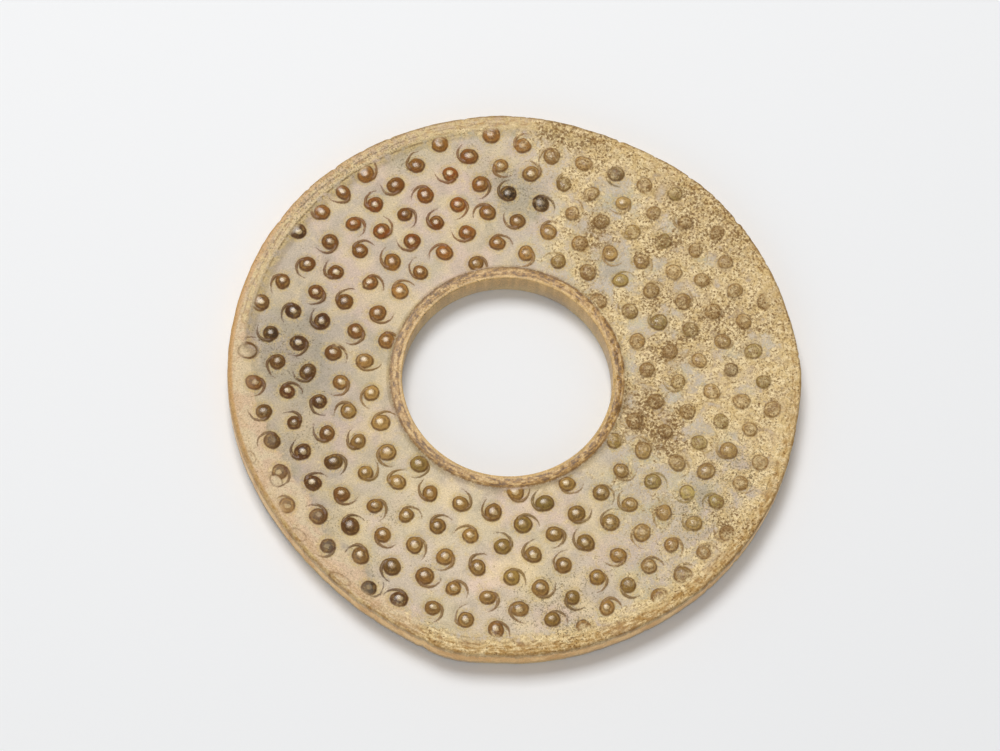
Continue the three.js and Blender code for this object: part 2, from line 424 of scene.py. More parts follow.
def pits(x, y, spacing, use, share):
    """Depth of round pits, 0 to 1, of which that share of a loose grid's places has one"""
    depth = np.zeros_like(x)
    i, j = np.floor(x / spacing), np.floor(y / spacing)
    for step_i in (-1, 0, 1):
        for step_j in (-1, 0, 1):
            ci, cj = i + step_i, j + step_j
            px = (ci + chance(ci, cj, use)) * spacing
            py = (cj + chance(ci, cj, use + 1)) * spacing
            size = spacing * (0.18 + 0.26 * chance(ci, cj, use + 2))
            present = chance(ci, cj, use + 3) < share
            away = np.hypot(x - px, y - py) / size
            depth = np.maximum(depth, present * np.maximum(1 - away ** 2, 0))
    return depth


def scars(x, y):
    """The cut-down ovals: 1 on their flats, and a thin lip around them"""
    flat = np.zeros_like(x)
    lip = np.zeros_like(x)
    for middle_x, middle_y, half_length, half_width, turned in OVAL_SCARS:
        turn = math.radians(turned)
        dx, dy = x - middle_x, y - middle_y
        along = (dx * math.cos(turn) + dy * math.sin(turn)) / half_length
        across = (dy * math.cos(turn) - dx * math.sin(turn)) / half_width
        away = np.hypot(along, across)
        flat = np.maximum(flat, smooth(1.0, 0.8, away))
        lip = np.maximum(lip, np.exp(-((away - 1.08) / 0.12) ** 2))
    return flat, lip


def upper_height(x, y):
    rim = rim_level(x, y)
    relief, _, head_gap, tail_gap, _ = knobs(x, y, UPPER_GRID)
    crust = crust_share(x, y)
    worn = erosion(x, y)
    pitted = patches(x, y, PITTED) * np.maximum(crust, 0.3)
    beside = np.maximum(np.minimum(head_gap, tail_gap), 0)
    moat = 0.09 * np.exp(-(beside / 0.26) ** 2) * (relief < 0.03)
    field = THICKNESS - RELIEF + relief * (1 - 0.08 * crust) - moat * (1 - 0.5 * crust)
    field = field + 0.35 * worn * (1 - relief / RELIEF)
    from_hole = np.hypot(x - HOLE_AT[0], y - HOLE_AT[1]) - HOLE_RADIUS
    crown = np.minimum(np.abs(from_hole / HOLE_RIM_WIDTH - 0.45) / 0.55, 1) ** 2
    top = THICKNESS - 0.05 * cloud(x, y, 5, 43) - 0.16 * crown * (from_hole < 6)
    level = field + (top - field) * rim
    level = level - 0.07 * rim_lines(x, y)
    level = level + 0.025 * (cloud(x, y, 1.1, 47, 3) - 0.5)
    level = level + 0.10 * crust * (cloud(x, y, 1.5, 41, 3) - 0.62)
    level = level + 0.16 * worn * (cloud(x, y, 1.6, 45, 3) - 0.75)
    level = level - 0.22 * pits(x, y, 1.35, 81, 0.9 * pitted)
    level = level - 0.12 * pits(x, y, 0.8, 91, 0.25 * crust + 0.5 * pitted)
    flat, lip = scars(x, y)
    level = level + flat * (THICKNESS - 0.28 - level) - 0.09 * lip
    return np.minimum(level, THICKNESS)


def lower_height(x, y):
    rim = rim_level(x, y)
    relief = knobs(x, y, LOWER_GRID)[0]
    uneven = 0.02 * cloud(x, y, 2.5, 49, 2) * (1 - rim)
    return (RELIEF - relief) * (1 - rim) + uneven


def ring_points(angle, share):
    """A point that is some share of the way from the hole's edge to the outline"""
    turn = np.radians(angle)
    hole_x = HOLE_AT[0] + HOLE_RADIUS * np.cos(turn)
    hole_y = HOLE_AT[1] + HOLE_RADIUS * np.sin(turn)
    radius = ragged_outline(angle)
    edge_x, edge_y = radius * np.cos(turn), radius * np.sin(turn)
    return hole_x + (edge_x - hole_x) * share, hole_y + (edge_y - hole_y) * share


def make_rings():
    """The rings of the closed surface, from the hole over the upper face and back below"""
    angle = np.arange(AROUND) * 360 / AROUND
    turn = np.radians(angle)
    outline = ragged_outline(angle)
    wear = rubbed(angle)
    upper_width = ARRIS + EDGE_WEAR_WIDTH * wear + SOFT_EDGE_WIDTH * bump(angle, 180, 60)
    upper_depth = ARRIS + EDGE_WEAR_DEPTH * wear
    full = outline - HOLE_RADIUS
    rings = []

    def add_wall(radius, middle, z):
        x, y = middle[0] + radius * np.cos(turn), middle[1] + radius * np.sin(turn)
        rings.append(np.stack([x, y, z + 0 * turn], 1))

    hole_round = 0.35
    quarter = np.linspace(0, math.pi / 2, CORNER_RINGS)
    # the hole's upper edge
    edge_share = hole_round / full
    for q in quarter[:-1]:
        radius = HOLE_RADIUS + hole_round * (1 - math.cos(q))
        add_wall(radius, HOLE_AT, THICKNESS - hole_round * (1 - math.sin(q)))
    # the upper face
    for k in range(UPPER_RINGS):
        t = k / (UPPER_RINGS - 1)
        share = edge_share + t * (1 - edge_share - upper_width / full)
        x, y = ring_points(angle, share)
        rings.append(np.stack([x, y, upper_height(x, y)], 1))
    last = rings[-1][:, 2]
    # the outer edge, above and below, and the wall between
    for q in quarter[::-1][1:]:
        radius = outline - upper_width * (1 - math.cos(q))
        add_wall(radius, (0, 0), last - upper_depth * (1 - math.sin(q)))
    top_of_wall = last - upper_depth
    for k in range(1, WALL_RINGS):
        t = k / WALL_RINGS
        z = top_of_wall + (ARRIS - top_of_wall) * t
        swell = 0.12 * math.sin(math.pi * t)
        add_wall(outline + swell - 0.06, (0, 0), z)
    for q in quarter:
        radius = outline - ARRIS * (1 - math.cos(q))
        add_wall(radius, (0, 0), ARRIS * (1 - math.sin(q)))
    # the underside
    for k in range(1, LOWER_RINGS):
        t = 1 - k / (LOWER_RINGS - 1)
        share = edge_share + t * (1 - edge_share - ARRIS / full)
        x, y = ring_points(angle, share)
        rings.append(np.stack([x, y, lower_height(x, y)], 1))
    # the hole's lower edge and wall
    for q in quarter[::-1][1:]:
        radius = HOLE_RADIUS + hole_round * (1 - math.cos(q))
        add_wall(radius, HOLE_AT, hole_round * (1 - math.sin(q)))
    for k in range(1, WALL_RINGS):
        t = k / WALL_RINGS
        add_wall(HOLE_RADIUS, HOLE_AT, hole_round + (THICKNESS - 2 * hole_round) * t)
    return np.array(rings)


def mesh_from_rings(rings, name):
    """One closed mesh from rings that follow each other and close on the first"""
    count, around, _ = rings.shape
    ring, spoke = np.mgrid[0:count, 0:around]
    next_ring, next_spoke = (ring + 1) % count, (spoke + 1) % around
    quads = np.stack([
        ring * around + spoke,
        next_ring * around + spoke,
        next_ring * around + next_spoke,
        ring * around + next_spoke,
    ], -1).reshape(-1, 4)
    mesh = bpy.data.meshes.new(name)
    mesh.vertices.add(count * around)
    mesh.vertices.foreach_set("co", rings.reshape(-1).astype(np.float32))
    mesh.loops.add(quads.size)
    mesh.loops.foreach_set("vertex_index", quads.reshape(-1).astype(np.int32))
    mesh.polygons.add(len(quads))
    mesh.polygons.foreach_set("loop_start", np.arange(0, quads.size, 4, dtype=np.int32))
    mesh.update(calc_edges=True)
    return mesh


def thin_out(mesh, triangles):
    """Removes points where the surface is nearly flat, down to that many triangles"""
    piece = bpy.data.objects.new("carving", mesh)
    bpy.context.scene.collection.objects.link(piece)
    thin = piece.modifiers.new("thin", "DECIMATE")
    thin.ratio = triangles / (2 * len(mesh.polygons))
    thin.use_collapse_triangulate = True
    bpy.context.view_layer.update()
    result = bpy.data.meshes.new_from_object(
        piece.evaluated_get(bpy.context.evaluated_depsgraph_get())
    )
    bpy.data.objects.remove(piece)
    bpy.data.meshes.remove(mesh)
    return result


def linear(red, green, blue):
    """A colour given as it looks on a screen, 0 to 255, as the shader wants it"""
    values = np.array([red, green, blue]) / 255
    return np.where(values > 0.04045, ((values + 0.055) / 1.055) ** 2.4, values / 12.92)


# The stone and what lies on it
GREY_JADE = linear(193, 174, 148)
PINK_JADE = linear(206, 180, 156)
GREEN_JADE = linear(192, 175, 135)
CREAM_JADE = linear(219, 194, 146)
STAIN_GREY = linear(140, 128, 104)
PATCH_GREY = linear(188, 178, 156)
OCHRE_CRUST = linear(218, 188, 130)
PALE_CRUST = linear(242, 217, 166)
DARK_CRUST = linear(152, 114, 62)
WORN_CREAM = linear(220, 197, 158)
WORN_PINK = linear(216, 184, 148)
PIT_BROWN = linear(122, 84, 38)
PATCH_LILAC = linear(201, 185, 166)
PATCH_GREEN = linear(193, 187, 150)
SPECK = linear(98, 82, 48)
# dark brown: dirt, and painted shade where it lines the foot of a knob
DIRT_AND_SHADE_BROWN = linear(98, 60, 18)
HALO = linear(192, 162, 86)
# Knobs, rims and walls
AMBER = linear(160, 110, 50)
HONEY = linear(184, 144, 80)
OLIVE = linear(146, 114, 52)
RED_BROWN = linear(142, 80, 22)
CHESTNUT = linear(108, 62, 20)
DARK_BROWN = linear(66, 40, 16)
OLIVE_TINT = np.array([-0.10, 0.04, -0.04])  # change of some knobs, as shares
SANDY_KNOB = linear(200, 164, 100)
# pale knob tops: partly worn stone, partly a painted highlight
WORN_TOP_AND_HIGHLIGHT = linear(214, 188, 138)
KNOB_SHADE = linear(138, 128, 112)
RIM_BROWN = linear(170, 124, 50)
RIM_DARK = linear(110, 72, 12)
YELLOW_RIM = linear(212, 184, 122)
RIM_PINK = linear(200, 170, 136)
RIM_OCHRE = linear(222, 186, 124)
EDGE_TAN = linear(198, 152, 94)
# the outer wall's ochre, painted paler as painted light
WALL_TAN_AND_PAINTED_LIGHT = linear(252, 212, 150)
WALL_BROWN_AND_PAINTED_LIGHT = linear(222, 172, 106)
HOLE_WALL = linear(192, 132, 64)

KNOB_TONES = [
    # colour, then patches of knobs that have it
    (SANDY_KNOB, [(45, 10, 26, 1.0), (30, 40, 18, 1.0), (38, -18, 16, 0.8), (12, 50, 10, 0.6),
                  (14, 34, 7, 0.6)]),
    (OLIVE, [(-8, -36, 24, 0.4), (-40, 25, 9, 0.6), (-27, -27, 9, 0.7), (20, -28, 14, 0.7)]),
    (HONEY, [(-28, -8, 9, 0.9), (-24, -20, 7, 0.8), (0, -50, 9, 0.6), (8, 30, 10, 0.7)]),
    (RED_BROWN, [(-33, 31, 13, 1.0), (-18, 34, 9, 0.7), (-19, 46, 8, 0.8), (-24, 38, 6, 0.9),
                 (-39, 14, 8, 0.6), (3, -55, 4, 0.5)]),
    (CHESTNUT, [(-31, -36, 6.5, 1.0), (-45, -14, 7, 0.8), (-41, -9, 7, 0.8), (-20, -50, 7, 0.9),
                (-37, -26, 6, 0.7), (-52, -7, 5, 0.6), (-43, 8, 10, 0.9), (-46, 24, 7, 0.6),
                (-44, -24, 7, 0.7)]),
    (DARK_BROWN, [(-49, 4, 9, 1.0), (-33, -42, 4.5, 1.0), (-23, -50, 4, 1.0), (-5, 41, 4.5, 1.0),
                  (1, 40, 4, 0.9), (16, 49, 3, 0.9), (46, 8, 2.6, 0.9), (-39, -29, 3, 0.6),
                  (-49, 26, 3, 0.9), (-45, -20, 7, 0.5), (-16, -52, 3, 0.5)]),
]


def mix(colour, other, share):
    share = np.clip(share, 0, 1)[:, None]
    return colour * (1 - share) + other * share


def paint_knobs(x, y, tone):
    """The colour of each knob, from the patch of knobs that it is in"""
    colour = np.repeat(AMBER[None, :], len(x), 0)
    colour = mix(colour, HONEY, 0.5 * smooth(0.5, 0.9, tone))
    for other, places in KNOB_TONES:
        colour = mix(colour, other, patches(x, y, places))
    greener = smooth(0.35, 0.15, tone)[:, None]
    colour = colour * (1 + greener * OLIVE_TINT)
    return colour * (0.80 + 0.38 * chance(np.rint(tone * 1000), 1, 3))[:, None]


def paint_upper(x, y):
    """The colour of the upper face where it is clean stone"""
    base = np.repeat(GREY_JADE[None, :], len(x), 0)
    base = mix(base, PINK_JADE, smooth(0.46, 0.64, cloud(x, y, 8, 53)))
    base = mix(base, GREEN_JADE, 0.6 * smooth(0.50, 0.66, cloud(x, y, 6, 55)))
    base = mix(base, CREAM_JADE, 0.65 * smooth(0.5, 0.68, cloud(x, y, 5, 51)))
    base = mix(base, PATCH_GREY, 0.6 * patches(x, y, CLEAN_IN_CRUST))
    broad = patches(x, y, LIGHTER) - patches(x, y, DARKER)
    return base * (1 + BROAD_TONE_CHANGE * broad)[:, None]


def paint_lower(x, y):
    """The underside is plainer: grey-green stone with cream and ochre clouds"""
    base = np.repeat(GREY_JADE[None, :], len(x), 0)
    base = mix(base, CREAM_JADE, smooth(0.42, 0.62, cloud(x, y, 11, 63)))
    return mix(base, OCHRE_CRUST, 0.7 * smooth(0.5, 0.64, cloud(x, y, 15, 65)))


def paint(mesh):
    """Stores the colour and what the material needs to know at every point"""
    count = len(mesh.vertices)
    points = np.empty(count * 3, np.float32)
    mesh.vertices.foreach_get("co", points)
    x, y, z = points.reshape(-1, 3).astype(float).T
    angle = angle_of(x, y)
    above = smooth(THICKNESS - 2.0, THICKNESS - 1.1, z)
    below = smooth(1.6, 0.9, z)
    from_hole = np.hypot(x - HOLE_AT[0], y - HOLE_AT[1])
    rim = rim_level(x, y)
    upper, lower = knobs(x, y, UPPER_GRID), knobs(x, y, LOWER_GRID)
    _, tone, head_gap, tail_gap, top_gap = np.where(z > THICKNESS / 2, upper, lower)
    flat, lip = scars(x, y)
    worn = erosion(x, y) * above
    clean = above * (1 - 0.85 * flat) * (1 - 0.1 * worn)
    carved = smooth(0.95, 0.6, rim) * np.maximum(clean, 0.55 * below)
    base = mix(paint_lower(x, y), paint_upper(x, y), above)
    side = 1 - np.maximum(above, below)
    base = mix(base, HOLE_WALL, side)
    crust = crust_share(x, y) * above * smooth(2.2, 3.0, from_hole - HOLE_RADIUS)
    speckled = patches(x, y, SPECKLED) * (1 - worn)
    speckled = np.maximum(speckled, bump(angle, 136, 50) * smooth(0.3, 0.8, rim)) * above
    values = {
        "crust": crust,
        "worn": worn,
        "stain": patches(x, y, STAINS) * above * (1 - rim),
        "pitted": patches(x, y, PITTED) * above,
        "speckled": speckled,
        "carved": carved,
        "tone": tone,
        "lip": lip * above,
        "side": side,
        "above": above,
        # millimetres from the nearest head, tail and pale top (partly worn, partly a painted
        # highlight), the hole and the outline
        "head_gap": head_gap,
        "tail_gap": tail_gap,
        "top_gap": top_gap,
        "hole_gap": from_hole - HOLE_RADIUS,
        "edge_gap": from_edge(x, y),
        # where the outer rim shows lines, a tan edge, and brown deposits
        "lined": np.maximum(bump(angle, 136, 60), 0.9 * bump(angle, 276, 34)) ** 0.5,
        "twice_lined": bump(angle, 136, 60) ** 0.5,
        "tan_edge": bump(angle, 173, 60) ** 0.5,
        "clean_edge": bump(angle, 232, 85) ** 0.5,
        "brown_rim": bump(angle, 300, 80) ** 0.5,
    }
    for name, colour in {"ground": base, "knob_colour": paint_knobs(x, y, tone)}.items():
        colours = np.ones((count, 4), np.float32)
        colours[:, :3] = colour
        attribute = mesh.attributes.new(name, "FLOAT_COLOR", "POINT")
        attribute.data.foreach_set("color", colours.reshape(-1))
    for name, share in values.items():
        attribute = mesh.attributes.new(name, "FLOAT", "POINT")
        attribute.data.foreach_set("value", share.astype(np.float32))


class Shading:
    """Short names for the nodes that the jade material is put together from"""

    def __init__(self, material):
        material.use_nodes = True
        self.nodes = material.node_tree.nodes
        self.links = material.node_tree.links
        self.shader = self.nodes["Principled BSDF"]
        place = self.nodes.new("ShaderNodeMapping")
        place.inputs["Scale"].default_value = (1 / MM, 1 / MM, 1 / MM)
        self.link(self.nodes.new("ShaderNodeTexCoord").outputs["Object"], place.inputs[0])
        self.place = place.outputs[0]

    def link(self, value, socket):
        """Joins an output to a socket, or sets the socket to a plain number or colour"""
        if isinstance(value, (int, float, tuple)):
            socket.default_value = value
        elif isinstance(value, np.ndarray):
            socket.default_value = (*value, 1)
        else:
            self.links.new(value, socket)

    def stored(self, name, output="Fac"):
        node = self.nodes.new("ShaderNodeAttribute")
        node.attribute_name = name
        return node.outputs[output]

    def noise(self, size, detail=2, roughness=0.5, distortion=0.0, place=None, output="Fac"):
        """Noise around 0.5 whose blobs are about that many millimetres across"""
        node = self.nodes.new("ShaderNodeTexNoise")
        self.link(place or self.place, node.inputs["Vector"])
        node.inputs["Scale"].default_value = 1 / size
        node.inputs["Detail"].default_value = detail
        node.inputs["Roughness"].default_value = roughness
        node.inputs["Distortion"].default_value = distortion
        return node.outputs[output]

    def calc(self, operation, *values, kind="ShaderNodeMath"):
        node = self.nodes.new(kind)
        node.operation = operation
        for value, socket in zip(values, node.inputs):
            self.link(value, socket)
        return node.outputs[0]

    def vector(self, operation, *values):
        return self.calc(operation, *values, kind="ShaderNodeVectorMath")

    def streaks(self, gap, around, size):
        """Noise of that size across a rim, from the distance in from it, and drawn out
        along the rim by the rim's radius over around"""
        outwards = self.vector("NORMALIZE", self.vector("MULTIPLY", self.place, (1, 1, 0)))
        inwards = self.nodes.new("ShaderNodeCombineXYZ")
        self.link(gap, inwards.inputs["Z"])
        place = self.vector("MULTIPLY_ADD", outwards, (around,) * 3, inwards.outputs[0])
        return self.noise(size, 3, place=place)

    def cells(self, size, bent):
        """Distance to the middle of the nearest bent cell, as a share of that size"""
        push = self.noise(size / 2, output="Color")
        node = self.nodes.new("ShaderNodeTexVoronoi")
        place = self.vector("MULTIPLY_ADD", push, (bent,) * 3, self.place)
        self.link(place, node.inputs["Vector"])
        node.inputs["Scale"].default_value = 1 / size
        return node.outputs["Distance"]

    def step(self, value, start, end):
        """0 up to start and 1 from end, or the other way round"""
        node = self.nodes.new("ShaderNodeMapRange")
        node.interpolation_type = "SMOOTHSTEP"
        turned = start > end
        for number, socket in zip((min(start, end), max(start, end), turned, not turned),
                                  list(node.inputs)[1:5]):
            socket.default_value = float(number)
        self.link(value, node.inputs[0])
        return node.outputs[0]

    def ragged(self, value, noise, amount, start=0.42, end=0.58):
        """A soft mask with its edge broken up by noise"""
        pushed = self.scaled(noise, amount, -amount / 2)
        return self.step(self.calc("ADD", value, pushed), start, end)

    def band(self, value, start, full, fading, end):
        """1 from full to fading, and 0 before start and after end"""
        return self.times(self.step(value, start, full), self.step(value, end, fading))

    def scaled(self, value, share, plus):
        return self.calc("MULTIPLY_ADD", value, share, plus)

    def times(self, *values):
        product = values[0]
        for value in values[1:]:
            product = self.calc("MULTIPLY", product, value)
        return product

    def blend(self, share, colour, other, kind="MIX"):
        node = self.nodes.new("ShaderNodeMix")
        node.data_type = "RGBA"
        node.blend_type = kind
        self.link(share, node.inputs["Factor"])
        self.link(colour, node.inputs[6])
        self.link(other, node.inputs[7])
        return node.outputs[2]

    def between(self, share, value, other):
        node = self.nodes.new("ShaderNodeMix")
        node.data_type = "FLOAT"
        self.link(share, node.inputs["Factor"])
        self.link(value, node.inputs[2])
        self.link(other, node.inputs[3])
        return node.outputs[0]


def paint_walls(shade, colour, drift, fine):
    """The outer wall is ochre, with browner and paler stretches, its colours painted paler than the
    stone's own ochre as painted light where the wall faces away from the key lamp
    """
    wall = shade.blend(shade.step(drift, 0.34, 0.68), WALL_TAN_AND_PAINTED_LIGHT, WALL_BROWN_AND_PAINTED_LIGHT)
    wall = shade.blend(shade.times(shade.step(fine, 0.52, 0.68), 0.4), wall, RIM_OCHRE)
    outer = shade.times(shade.stored("side"), shade.step(shade.stored("hole_gap"), 1.0, 6.0))
    return shade.blend(outer, colour, wall)


def paint_rims(shade, colour, mottle, fine):
    """Bands and lines that follow the hole and the outline"""
    above = shade.stored("above")
    wavy = shade.scaled(mottle, 0.9, -0.45)
    gap = shade.calc("ADD", shade.stored("hole_gap"), shade.times(wavy, 0.5))
    band = shade.times(shade.step(gap, 2.75, 2.35), above)
    along = shade.streaks(shade.stored("hole_gap"), 8.0, 0.55)
    streaked = shade.scaled(along, 0.7, shade.times(fine, 0.3))
    stained = shade.blend(shade.step(streaked, 0.40, 0.52), RIM_DARK, RIM_BROWN)
    stained = shade.blend(shade.times(shade.step(streaked, 0.50, 0.62), 0.75), stained, RIM_OCHRE)
    colour = shade.blend(shade.times(band, 0.93), colour, stained)
    line = shade.times(shade.band(gap, 2.0, 2.4, 2.6, 3.0), above)
    line = shade.times(line, shade.step(fine, 0.35, 0.55), 0.7)
    colour = shade.blend(line, colour, RIM_DARK)
    ridge = shade.times(shade.step(gap, 0.85, 0.55), above, 0.6)
    colour = shade.blend(ridge, colour, RIM_OCHRE)

    gap = shade.calc("ADD", shade.stored("edge_gap"), wavy)
    border = shade.times(shade.step(gap, 3.4, 2.4), above)
    ochre = shade.blend(shade.step(fine, 0.38, 0.54), RIM_BROWN, YELLOW_RIM)
    ochre = shade.blend(shade.times(shade.step(mottle, 0.45, 0.60), 0.7), ochre, RIM_PINK)
    # painted light and colour: a cream band along the foot of the outer rim, partly the stone's olive
    # cream and partly painted light lifting the shade on the rim's inner slope
    foot = shade.times(shade.band(gap, 2.0, 2.8, 3.8, 5.2), above)
    foot = shade.times(foot, shade.stored("lined"), shade.step(mottle, 0.38, 0.56), 0.75)
    colour = shade.blend(foot, colour, YELLOW_RIM)
    brown = shade.blend(shade.step(fine, 0.42, 0.6), RIM_DARK, RIM_OCHRE)
    ochre = shade.blend(shade.times(shade.stored("brown_rim"), 0.7), ochre, brown)
    colour = shade.blend(shade.times(border, 0.8), colour, ochre)
    gap = shade.calc("ADD", shade.stored("edge_gap"), shade.times(wavy, 0.45))
    for middle, half, where in ((1.9, 0.3, "twice_lined"), (3.5, 0.35, "lined")):
        line = shade.times(
            shade.band(gap, middle - half, middle, middle, middle + half),
            shade.step(mottle, 0.40, 0.56), shade.stored(where), above, 0.7,
        )
        colour = shade.blend(line, colour, RIM_DARK)
    return colour


def paint_edge(shade, colour, mottle, fine):
    """Brown along the outer rim, a tan band where the edge is rubbed, and a dark edge"""
    above = shade.stored("above")
    wavy = shade.scaled(mottle, 0.4, -0.2)
    gap = shade.calc("ADD", shade.stored("edge_gap"), wavy)
    brown = shade.scaled(shade.stored("brown_rim"), 0.55, 0.22)
    brown = shade.times(brown, shade.step(gap, 3.0, 1.6), shade.step(fine, 0.64, 0.40), above)
    colour = shade.blend(brown, colour, RIM_BROWN)
    edge = shade.times(shade.step(gap, 1.25, 0.85), shade.stored("tan_edge"), above, 0.8)
    colour = shade.blend(edge, colour, EDGE_TAN)
    clean = shade.calc("MAXIMUM", shade.stored("tan_edge"), shade.stored("clean_edge"))
    bare = shade.scaled(clean, -0.9, 1.0)
    thin = shade.times(shade.step(gap, 0.6, 0.25), above, bare, 0.45)
    return shade.blend(thin, colour, RIM_DARK)


def paint_heads(shade, colour, carved, mottle, fine):
    """Knobs with a dark foot of dirt and painted shade, a ring of painted shade round a pale top that
    is partly wear and partly a painted highlight, and a halo outside
    """
    wavy = shade.scaled(mottle, 0.8, -0.4)
    rough = shade.scaled(fine, 1.0, -0.5)
    gap = shade.calc("ADD", shade.stored("head_gap"), shade.times(wavy, 0.6))
    halo = shade.times(shade.step(gap, 1.3, 0.4), shade.step(fine, 0.35, 0.6), carved, 0.6)
    colour = shade.blend(halo, colour, HALO)
    inside = shade.times(shade.step(gap, 0.12, -0.12), carved)
    knob = shade.stored("knob_colour", "Color")
    streak = shade.step(shade.calc("ADD", mottle, shade.times(fine, 0.5)), 0.70, 0.92)
    knob = shade.blend(shade.times(streak, 0.45), knob, HONEY)
    # painted shade: a darker ring round each knob's pale top
    ring = shade.band(gap, -1.4, -1.0, -0.8, -0.4)
    ring = shade.times(ring, shade.step(mottle, 0.35, 0.6), 0.65)
    knob = shade.blend(ring, knob, KNOB_SHADE, "MULTIPLY")
    # painted highlight: the pale top of each knob stands partly for wear and partly for the glint on
    # its polished dome
    top_gap = shade.calc("ADD", shade.stored("top_gap"), shade.calc("ADD", wavy, rough))
    top_wear_and_highlight = shade.scaled(shade.stored("tone"), 0.6, 0.12)
    knob = shade.blend(shade.times(shade.step(top_gap, 0.12, -0.15), top_wear_and_highlight), knob, WORN_TOP_AND_HIGHLIGHT)
    colour = shade.blend(inside, colour, knob)
    # dirt and painted shade: a dark line round the foot of each head
    foot = shade.band(gap, -0.45, -0.1, 0.02, 0.25)
    foot = shade.times(foot, carved, shade.step(mottle, 0.3, 0.55), 0.75)
    colour = shade.blend(foot, colour, DIRT_AND_SHADE_BROWN)
    gap = shade.calc("ADD", shade.stored("tail_gap"), shade.times(rough, 0.3))
    tail = shade.times(shade.step(gap, 0.18, -0.04), carved, shade.step(mottle, 0.2, 0.4), 0.85)
    brown = shade.blend(0.5, shade.stored("knob_colour", "Color"), DIRT_AND_SHADE_BROWN)
    return shade.blend(tail, colour, brown), inside


STONE_IOR = 1.62
STONE_SPECULAR = 0.32
POLISHED_KNOB = 0.22              # roughness where the stone is best kept
GRAIN_DEPTH = 0.14                # millimetres
GRAIN_STRENGTH = 0.6


